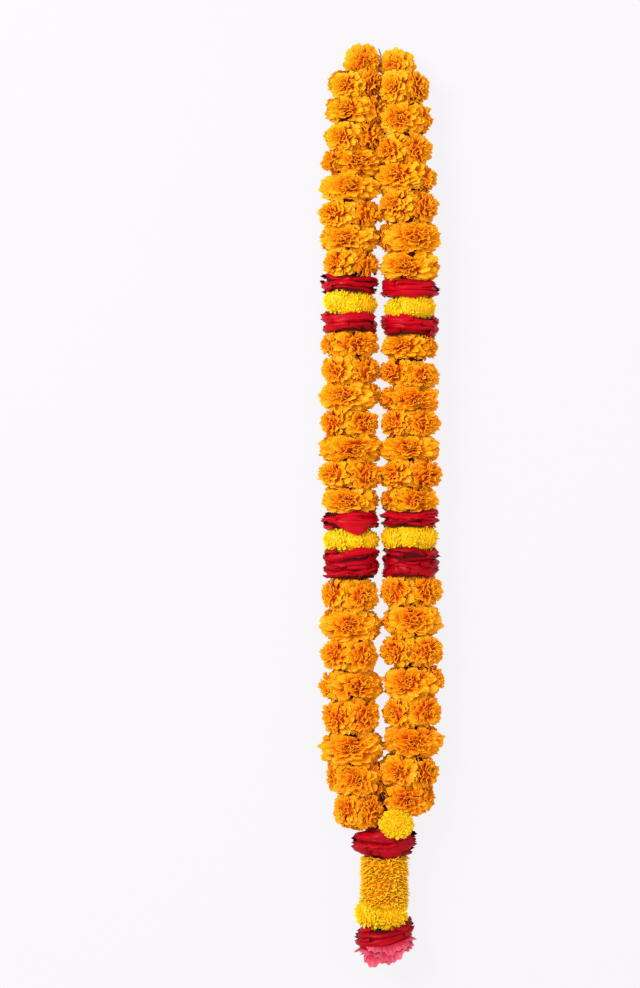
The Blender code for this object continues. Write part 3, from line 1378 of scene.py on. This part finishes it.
class PiercedPetals(Piece):
    """A stack of broad petals that the thread pierces, bent away from the top."""

    INNER = 0.003
    STEPS = 40
    RINGS = 9
    ARC = 1.9
    """How much of the turn round the thread a petal covers, in radians."""
    BEND_RADIUS = 0.0110
    FRONT_BEND = 1.05
    SWING = 0.0035
    """How far the margin waves along the thread."""
    RUFFLE = 0.0034
    """How far the margin ripples in and out."""
    RIPPLES = 5.0
    TOOTH = 0.0022
    """How deep the teeth of the margin are."""
    TILT = -0.20
    SHIFT = 0.0015
    """How far the stack stands to the right of its node's middle."""

    def petal(self, form: SheetForm, place: Matrix, half_width: float) -> None:
        """Add one petal.

        Args:
            form: the petal's form.
            place: takes the petal from the thread's own axes to the garland's.
            half_width: how far it reaches sideways.
        """
        draw = self.draw
        chain = bmesh.ops.create_grid(self.body, x_segments=self.RINGS, y_segments=1, size=0.5)
        before = {vert for vert in self.body.verts if vert not in set(chain["verts"])}
        far_side = [vert for vert in chain["verts"] if vert.co.y > 0.0]
        bmesh.ops.delete(self.body, geom=far_side, context="VERTS")
        line = [vert for vert in chain["verts"] if vert.is_valid]
        for vert in line:
            vert.co = Vector((1.5 + vert.co.x, 0.0, 0.0))
        edges = list({edge for vert in line for edge in vert.link_edges})
        bmesh.ops.spin(
            self.body,
            geom=line + edges,
            cent=(0.0, 0.0, 0.0),
            axis=(0.0, 0.0, 1.0),
            angle=self.ARC,
            steps=self.STEPS,
            use_duplicate=False,
        )
        added = [vert for vert in self.body.verts if vert not in before]
        tone = draw.random()
        phases = [draw.uniform(0.0, math.tau) for _ in range(4)]
        for vert in added:
            share = min(1.0, max(0.0, math.hypot(vert.co.x, vert.co.y) - 1.0))
            angle = math.atan2(vert.co.y, vert.co.x) % math.tau
            across = 2.0 * angle / self.ARC - 1.0
            vert[self.layer] = (across, share, tone)
            vert.co = place @ self.point(form, share, across, half_width, phases)

    def point(
        self,
        form: SheetForm,
        share: float,
        across: float,
        half_width: float,
        phases: Sequence[float],
    ) -> Vector:
        """Return a point of a petal in the thread's axes.

        Args:
            form: the petal's form.
            share: from 0 at the thread to 1 at the margin.
            across: from -1 to 1 between the petal's two sides.
            half_width: how far it reaches sideways.
            phases: of its waves.

        Returns:
            The point as (right, up, towards the top).
        """
        angle = math.radians(form.start) + 0.5 * self.ARC * (across + 1.0)
        front = abs(math.sin(angle)) ** 1.4
        bend = form.side_bend + (self.FRONT_BEND - form.side_bend) * front
        flat = half_width - self.BEND_RADIUS
        side_length = half_width + 0.001
        front_length = flat + self.BEND_RADIUS * bend + form.skirt
        length = side_length + (front_length - side_length) * front
        outline = 1.0 - 0.30 * abs(across) ** 7
        teeth = math.sin(23.0 * angle + phases[0]) * math.sin(9.0 * angle + phases[1])
        way = self.INNER + (length * outline - self.INNER) * share + self.TOOTH * teeth * share**6
        past = max(0.0, way - flat)
        turned = min(bend, past / self.BEND_RADIUS)
        straight = max(0.0, past - self.BEND_RADIUS * bend)
        out = min(way, flat) + self.BEND_RADIUS * math.sin(turned) + straight * math.cos(bend)
        along = self.BEND_RADIUS * (1.0 - math.cos(turned)) + straight * math.sin(bend)
        out += self.RUFFLE * share**4 * math.sin(self.RIPPLES * angle + phases[2])
        along -= self.SWING * share**2 * math.sin(2.0 * angle + phases[3])
        along -= 0.5 * self.RUFFLE * share**5 * math.sin((self.RIPPLES + 3.0) * angle + phases[1])
        return Vector((out * math.cos(angle), out * math.sin(angle), -along))


# ------------------------------------------------------------------------------------ folded petals


@dataclass(frozen=True)
class FoldForm:
    """A rose petal folded lengthways and laid round the thread with its fold outwards."""

    angle: float
    """The middle of its arc round the thread, in degrees from +X towards +Z."""
    place: float
    """Where it sits, as a share of the node's length from the top."""
    height: float
    """Of the folded petal along the thread."""
    arc: float = 205.0
    bow: float = 0.0
    """How far its ends rise towards the top."""
    slope: float = 0.0
    """How far its one end stands above the other."""
    flap: float = 0.0
    """How far its middle bends over the neighbour: above it if positive, below it if negative."""
    reach: float = 1.0
    """Its radius, as a share of the node's half width."""
    depth: float = 0.66
    # Where its fold lies between base and tip: the almost black base is painted shade.
    """Where its fold lies between base and tip: the base is almost black."""
    tone: float = 0.0
    """From 0 for a bright petal to 1 for a dark one."""


@dataclass(frozen=True)
class RingPlan:
    """A ring of folded petals."""

    layers: int
    height: float
    slope: float = 0.0
    bow: float = 0.0
    depth: float = 0.90
    """How far down the node the layers go, as a share of its length."""
    scatter: float = 1.0
    """How unevenly the petals lie."""
    darkness: float = 0.0
    """The lowest tone of its petals."""
    shade_core: float = 0.82
    # The radius of the core of painted shade behind its petals, as a share of the node's half width.
    """The radius of the dark middle behind its petals, as a share of the node's half width."""
    extras: tuple[FoldForm, ...] = ()

    def forms(self, draw: random.Random) -> list[FoldForm]:
        """Return the ring's petals: each layer has one at the front, one at the back and one at each side.

        Args:
            draw: the random draws.

        Returns:
            The petals.
        """
        made = []
        for layer in range(self.layers):
            for angle in (90.0, 270.0, 0.0, 180.0):
                sideways = angle in (0.0, 180.0)
                slope = -self.slope * math.sin(math.radians(angle))
                made.append(
                    FoldForm(
                        angle=angle + draw.gauss(0.0, 24.0 * self.scatter),
                        place=self.depth * (layer + 0.5 + draw.gauss(0.0, 0.22)) / self.layers,
                        height=self.height * draw.uniform(0.75, 1.45),
                        arc=draw.uniform(80.0, 130.0) if sideways else draw.uniform(120.0, 200.0),
                        bow=self.bow + draw.gauss(0.0, 0.0014 * self.scatter),
                        slope=slope + draw.choice((-1.0, 1.0)) * draw.uniform(0.0, 0.0090 * self.scatter),
                        reach=draw.uniform(0.86, 1.03),
                        tone=draw.uniform(self.darkness, 1.0),
                    )
                )
        return made + list(self.extras)


class FoldedPetals(Piece):
    """A ring of folded rose petals, packed along the thread."""

    ALONG = 24
    ROUND = 9
    DEPTH = 0.015
    TURN = 1.15
    """Half the turn of the fold, in radians."""
    CREASE = 0.0016
    MARGIN = 0.27
    """How much of a petal's length its coloured margin takes where it ends."""

    def petal(self, form: FoldForm, middle: Vector, half_width: float) -> None:
        """Add one folded petal.

        Args:
            form: the petal's form.
            middle: its place on the thread.
            half_width: of the ring.
        """
        phases = [self.draw.uniform(0.0, math.tau) for _ in range(4)]
        grid = bmesh.ops.create_grid(self.body, x_segments=self.ALONG, y_segments=self.ROUND, size=0.5)
        for vert in grid["verts"]:
            across, over = 2.0 * vert.co.x, 2.0 * vert.co.y
            angle = math.radians(form.angle + 0.5 * form.arc * across)
            edge = max(abs(across), 0.9 * abs(over)) * math.sqrt(abs(math.cos(angle)))
            vert[self.layer] = (over, form.depth + self.MARGIN * edge**3, form.tone)
            vert.co = middle + self.point(form, across, over, half_width * form.reach, phases)

    def point(
        self,
        form: FoldForm,
        across: float,
        over: float,
        radius: float,
        phases: Sequence[float],
    ) -> Vector:
        """Return a point of a folded petal, from its middle on the thread.

        Args:
            form: the petal's form.
            across: from -1 at one end of the fold to 1 at the other.
            over: from -1 at the lower margin, over the fold, to 1 at the upper margin.
            radius: of the fold's crest.
            phases: of its waves.

        Returns:
            The point.
        """
        angle = math.radians(form.angle + 0.5 * form.arc * across)
        end = abs(across)
        turn = self.TURN * over + 0.45 * math.sin(phases[0])
        fall = self.DEPTH * (1.0 - math.cos(turn))
        taper = 0.55 + 0.45 * math.sqrt(max(0.0, 1.0 - end**2.4))
        flare = 0.0016 * end**10 * (1.0 + math.sin(17.0 * over + phases[0]))
        ripple = 0.0010 * math.sin(4.0 * across + phases[1]) + 0.0005 * math.sin(11.0 * across + phases[2])
        crease = max(0.0, math.sin(4.6 * over + 2.8 * across + phases[3])) ** 3
        crease += 0.6 * max(0.0, math.sin(7.3 * over - 2.1 * across + phases[2])) ** 3
        out = radius - fall * (1.0 - 0.5 * end**4) + flare - self.CREASE * crease
        along = 0.5 * form.height * taper * math.sin(turn) + ripple * (0.4 + abs(over))
        along += form.bow * across * across + 0.5 * form.slope * across
        along += 0.0011 * end**6 * math.sin(5.0 * over + phases[3])
        bulge = math.exp(-((across / 0.36) ** 2)) * max(0.0, over * math.copysign(1.0, form.flap))
        along += form.flap * bulge
        out += fall * min(1.0, abs(form.flap) * 130.0) * min(1.0, bulge * 1.2)
        return Vector((out * math.cos(angle), along, out * math.sin(angle)))


BAND_TONGUE = FoldForm(77.0, 0.48, 0.0090, 190.0, flap=-0.0110)
COLLAR_PETALS = (
    FoldForm(118.0, 0.52, 0.0170, 120.0, slope=0.003, reach=1.03, tone=0.5),
    FoldForm(72.0, 0.34, 0.0110, 110.0, slope=-0.007, reach=1.05, tone=0.7),
    FoldForm(98.0, 0.12, 0.0120, 150.0, slope=0.004, reach=0.96, tone=0.9),
    FoldForm(80.0, 0.66, 0.0110, 120.0, slope=0.002, reach=0.93, tone=0.9),
    FoldForm(52.0, 0.44, 0.0150, 100.0, slope=-0.009, reach=1.02, tone=0.6),
)
GATHERED_SHADE_PETALS = (
    FoldForm(0.0, -0.70, 0.0240, 110.0, reach=0.42, depth=0.30),
    FoldForm(180.0, -0.60, 0.0220, 110.0, reach=0.42, depth=0.30),
    FoldForm(270.0, -0.65, 0.0240, 130.0, reach=0.42, depth=0.30),
    FoldForm(66.0, -1.00, 0.0260, 60.0, reach=0.44, depth=0.10),
    FoldForm(80.0, -1.45, 0.0260, 60.0, reach=0.40, depth=0.10),
    FoldForm(138.0, -0.12, 0.0180, 55.0, reach=0.62, depth=0.36),
    FoldForm(118.0, -0.24, 0.0180, 55.0, reach=0.60, depth=0.30),
)
# Near-black petals above the collar, round the knot that gathers the strands: painted shade for the dark gap
# there.
"""Dark petals above the collar, round the knot that gathers the strands."""

RINGS = {
    "left_band_1_upper_roses": RingPlan(3, 0.0090, darkness=-0.6),
    "left_band_1_lower_roses": RingPlan(3, 0.0095, darkness=-0.6),
    "left_band_2_upper_roses": RingPlan(3, 0.0080, extras=(BAND_TONGUE,)),
    "left_band_2_lower_roses": RingPlan(5, 0.0095, depth=0.86),
    "right_band_1_upper_roses": RingPlan(
        3, 0.0090, darkness=-0.6, extras=(FoldForm(85.0, 0.75, 0.0080, 180.0, flap=-0.0040),)
    ),
    "right_band_1_lower_roses": RingPlan(
        3, 0.0095, darkness=-0.6, extras=(FoldForm(98.0, 0.30, 0.0080, 170.0, flap=0.0060),)
    ),
    "right_band_2_upper_roses": RingPlan(3, 0.0080),
    "right_band_2_lower_roses": RingPlan(5, 0.0100, depth=0.92, darkness=0.25),
    "rose_collar": RingPlan(
        layers=2,
        height=0.0130,
        depth=0.60,
        scatter=0.6,
        darkness=0.5,
        shade_core=0.62,
        extras=(*COLLAR_PETALS, *GATHERED_SHADE_PETALS),
    ),
    "crimson_petals": RingPlan(
        layers=3,
        height=0.0110,
        slope=0.0140,
        bow=0.0050,
        depth=0.90,
        scatter=0.4,
        darkness=0.3,
    ),
}


class StackMaker:
    """Makes every stack of pierced or folded petals."""

    def __init__(self, bench: Bench) -> None:
        """Keep the bench."""
        self.bench = bench

    def ring(self, node: str, plan: RingPlan, seed: int) -> None:
        """Make one ring of folded petals.

        Args:
            node: the node that it replaces.
            plan: its petals.
            seed: for its random draws.
        """
        piece = FoldedPetals(self.bench, Slot.ROSE, [node], f"{node}_folded", seed)
        low, high = CentreLine.corners(node)
        middle = (low + high) / 2
        for form in plan.forms(piece.draw):
            place = Vector((middle.x, high.y + (low.y - high.y) * form.place, middle.z))
            piece.petal(form, place, (high.x - low.x) / 2)
        thicken(piece.body, piece.THICKNESS)
        half = Vector((0.0, (high.y - low.y) / 2, 0.0))
        piece.shade_core(middle - half, middle + half, (high.x - low.x) / 2 * plan.shade_core)
        piece.settle(piece.body.verts, middle.z, (high.z - low.z) / (high.x - low.x))
        piece.finish()

    def skirt(self, node: str, seed: int) -> None:
        """Make the ruffled petals at the pendant's end.

        Args:
            node: the node that they replace.
            seed: for their random draws.
        """
        piece = PiercedPetals(self.bench, Slot.PINK, [node], f"{node}_ruffled", seed)
        low, high = CentreLine.corners(node)
        middle = (low + high) / 2
        for form in PINK_PETALS:
            place = Vector((middle.x + piece.SHIFT, high.y + (low.y - high.y) * form.place, middle.z))
            tilt = Matrix.Rotation(piece.draw.gauss(piece.TILT, 0.04), 4, "Y")
            axes = basis(Vector((1.0, 0.0, 0.0)), UP, Vector((0.0, 1.0, 0.0)), place)
            piece.petal(form, axes @ tilt, (high.x - low.x) / 2 * piece.draw.uniform(0.95, 1.03))
        thicken(piece.body, piece.THICKNESS)
        piece.settle(piece.body.verts, middle.z, (high.z - low.z) / (high.x - low.x))
        piece.finish()

    def build_all(self) -> None:
        """Make every stack in the frame."""
        for number, (node, plan) in enumerate(RINGS.items()):
            self.ring(node, plan, 7000 + number)
        self.skirt("pink_petals", 7100)


# ------------------------------------------------------------------------------------ chrysanthemums


class Chrysanthemum(Piece):
    """A flat flower pierced through its middle, with whorls of narrow petals all round."""

    WHORLS = 8
    PETALS = 40
    FORM = PetalForm(
        length=0.56,
        width=0.215,
        claw=0.9,
        bend=0.22,
        cup=0.4,
        ruffle=0.024,
        waves=0.8,
        notch=0.02,
    )
    SQUARES = (2, 3)
    ROOT = 0.50
    """Where the petals start, as a share of the radius."""
    CORE = 0.80
    """The radius of the solid middle, as a share of the radius."""

    def petal(self, root: Vector, turn: float, radius: float) -> None:
        """Add one petal.

        Args:
            root: the place on the thread that it stands over.
            turn: its angle round the thread.
            radius: of the flower.
        """
        draw = self.draw
        turn += draw.gauss(0.0, 0.05)
        out = Vector((math.cos(turn), 0.0, math.sin(turn)))
        rise = draw.gauss(0.0, 0.10)
        outwards = (out * math.cos(rise) + Vector((0.0, math.sin(rise), 0.0))).normalized()
        away = Vector((0.0, draw.choice((-1.0, -1.0, 1.0)), 0.0))
        away = (away - outwards * away.dot(outwards)).normalized()
        size = radius * draw.uniform(0.88, 1.05)
        start = root + out * radius * self.ROOT
        axes = basis(away.cross(outwards) * size, away * size, outwards * size, start)
        phase = draw.uniform(0.0, math.tau)
        self.FORM.lay(self.body, axes, self.SQUARES, phase, draw.random())

    def build(self) -> None:
        """Make the flower."""
        low, high = CentreLine.corners(self.nodes[0])
        middle = (low + high) / 2
        radius = (high.x - low.x) / 2
        for whorl in range(self.WHORLS):
            # The whorls pass both ends of the node, to meet the next flower's.
            share = 1.3 * (whorl + 0.5) / self.WHORLS - 0.2
            root = Vector((middle.x, high.y + (low.y - high.y) * share, middle.z))
            for n in range(self.PETALS):
                self.petal(root, math.tau * (n + 0.5 * (whorl % 2)) / self.PETALS, radius)
        thicken(self.body, self.THICKNESS)
        half = Vector((0.0, (high.y - low.y) / 2, 0.0))
        core = self.stub(middle - half, middle + half, (radius * self.CORE, radius * self.CORE), 16, 0)
        for vert in core:
            vert[self.layer] = (0.0, 0.2, 0.5)
        self.settle(self.body.verts, middle.z, (high.z - low.z) / (high.x - low.x))
        self.finish()


class PendantRow(StrungHeads):
    """The row of yellow heads between the chrysanthemums and the crimson petals."""

    SHIFT = Vector((-0.002, 0.004, 0.0))
    STRETCH = 1.40
    """How much longer it is than its node, as its petals spread over the neighbours."""

    def build(self) -> None:
        """Make the row."""
        low, high = CentreLine.corners(self.nodes[0])
        half = (high - low) / 2
        shape = RowShape(
            place=(low + high) / 2 + self.SHIFT,
            way=Vector((0.0, 1.0, 0.0)),
            half_length=half.y * self.STRETCH,
            half_width=half.x,
            half_height=half.z,
            facing=Facing.PAIR,
            mean_tone=-0.1,
        )
        self.row(shape, Kind.POMPON)
        self.finish()


# ------------------------------------------------------------------------------------------- thread


HANGING_ROUTE = (
    (0.0000, 0.4875, 0.0230),
    (0.0002, 0.4900, 0.0227),
    (0.0005, 0.4935, 0.0205),
    (0.0006, 0.4965, 0.0150),
    (0.0004, 0.4985, 0.0080),
    (0.0000, 0.5008, 0.0026),
    (-0.0005, 0.5030, 0.0010),
    (-0.0010, 0.5052, 0.0009),
)


class ThreadWork:
    """Makes the hanging thread and dresses the threads and knots that stay from the frame."""

    DIAMETER = 0.0015
    KEPT = ("left_thread", "right_thread", "pendant_thread", "top_knot", "gathering_knot", "end_knot")

    def __init__(self, bench: Bench) -> None:
        """Keep the bench."""
        self.bench = bench

    def route(self) -> list[Vector]:
        """Return the hanging thread's route in the frame's place."""
        low, high = CentreLine.corners("hanging_thread")
        first = [Vector(point) for point in HANGING_ROUTE]
        reach = max(point.y for point in first)
        middle = (min(point.x for point in first) + max(point.x for point in first)) / 2
        shift = Vector(((low.x + high.x) / 2 - middle, high.y - reach, 0.0))
        return [point + shift for point in first]

    def hang(self) -> None:
        """Make the hanging thread as a curve."""
        curve = bpy.data.curves.new("hanging_twine", "CURVE")
        curve.dimensions = "3D"
        curve.bevel_depth = self.DIAMETER / 2
        curve.bevel_resolution = 3
        curve.use_fill_caps = True
        points = self.route()
        spline = curve.splines.new("POLY")
        spline.points.add(len(points) - 1)
        for point, place in zip(spline.points, points):
            point.co = (*place, 1.0)
        twine = bpy.data.objects.new("hanging_twine", curve)
        bpy.context.scene.collection.objects.link(twine)
        curve.materials.append(self.bench.palette.thread)
        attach(twine, "root")
        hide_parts("hanging_thread")

    def dress(self) -> None:
        """Give the threads and knots that stay from the frame their material."""
        for node in self.KEPT:
            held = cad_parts[node]
            held.data.materials.clear()
            held.data.materials.append(self.bench.palette.thread)


# -------------------------------------------------------------------------------------------- stage


class Studio:
    """The floor, the light and the camera."""

    LENS = 85.0
    SENSOR = 36.0
    SHOWN_HEIGHT = 1.0868
    """How much of the surface the longer side of the view takes in."""
    AIM = Vector((-0.0677, 0.0105, 0.026))

    def camera(self) -> None:
        """Look straight down on the garland."""
        data = bpy.data.cameras.new("camera")
        data.lens = self.LENS
        data.sensor_width = self.SENSOR
        data.clip_end = 20.0
        eye = bpy.data.objects.new("camera", data)
        eye.location = self.AIM + UP * (self.SHOWN_HEIGHT * self.LENS / self.SENSOR)
        bpy.context.scene.collection.objects.link(eye)
        bpy.context.scene.camera = eye

    def floor(self, material: bpy.types.Material) -> None:
        """Add the pale floor."""
        body = bmesh.new()
        bmesh.ops.create_grid(body, x_segments=1, y_segments=1, size=6.0)
        mesh = bpy.data.meshes.new("floor")
        body.to_mesh(mesh)
        body.free()
        mesh.materials.append(material)
        thing = bpy.data.objects.new("floor", mesh)
        bpy.context.scene.collection.objects.link(thing)

    def lamp(
        self,
        name: str,
        place: Vector,
        size: float,
        watts: float,
        colour: tuple[float, float, float],
    ) -> None:
        """Add a soft square lamp that faces the garland's middle.

        Args:
            name: the lamp's name.
            place: where it stands.
            size: its side.
            watts: its strength.
            colour: its colour.
        """
        data = bpy.data.lights.new(name, "AREA")
        data.size = size
        data.energy = watts
        data.color = colour
        lamp = bpy.data.objects.new(name, data)
        lamp.location = place
        lamp.rotation_euler = (-place).to_track_quat("-Z", "Y").to_euler()
        bpy.context.scene.collection.objects.link(lamp)

    def light(self) -> None:
        """Light the garland softly from the upper left."""
        world = bpy.data.worlds.new("soft_room")
        world.use_nodes = True
        sky = world.node_tree.nodes["Background"].inputs
        sky["Color"].default_value = (1.0, 0.96, 0.92, 1.0)
        sky["Strength"].default_value = 1.04
        bpy.context.scene.world = world
        self.lamp("key", Vector((-1.3, 0.9, 1.7)), 1.0, 63.0, (1.0, 0.98, 0.95))
        self.lamp("fill", Vector((1.4, -0.4, 1.8)), 1.6, 6.0, (0.95, 0.97, 1.0))
        bpy.context.scene.view_settings.view_transform = "Standard"


def build_flowers(bench: Bench) -> None:
    """Make every piece of the garland.

    Args:
        bench: the shared materials and heads.
    """
    thread = ThreadWork(bench)
    thread.hang()
    thread.dress()
    for plan in (LEFT_PLAN, RIGHT_PLAN):
        StrandMaker(bench, plan).build()
    for head in SINGLE_HEADS:
        SingleHead(bench, head.slot, [head.node], head.name, head.seed).build(head)
    PendantRow(bench, Slot.YELLOW, ["pendant_yellow_row"], "pendant_yellow_flowers", 505).build()
    StackMaker(bench).build_all()
    for number in (1, 2, 3):
        node = f"chrysanthemum_{number}"
        Chrysanthemum(bench, Slot.CHRYSANTHEMUM, [node], f"{node}_flower", 600 + number).build()


def main() -> None:
    """Build the stage, then the garland."""
    logging.basicConfig(level=logging.INFO, format="%(message)s")
    studio = Studio()
    studio.camera()
    studio.light()
    palette = Palette()
    studio.floor(palette.floor)
    heads = {
        Kind.MARIGOLD: HeadMaker(MARIGOLD_HEAD, 7, 11),
        Kind.YELLOW: HeadMaker(YELLOW_HEAD, 3, 31),
        Kind.POMPON: HeadMaker(POMPON_HEAD, 1, 41),
    }
    build_flowers(Bench(palette, heads))
    for maker in heads.values():
        for mesh in maker.heads:
            bpy.data.meshes.remove(mesh)


if __name__ == "__main__":
    main()
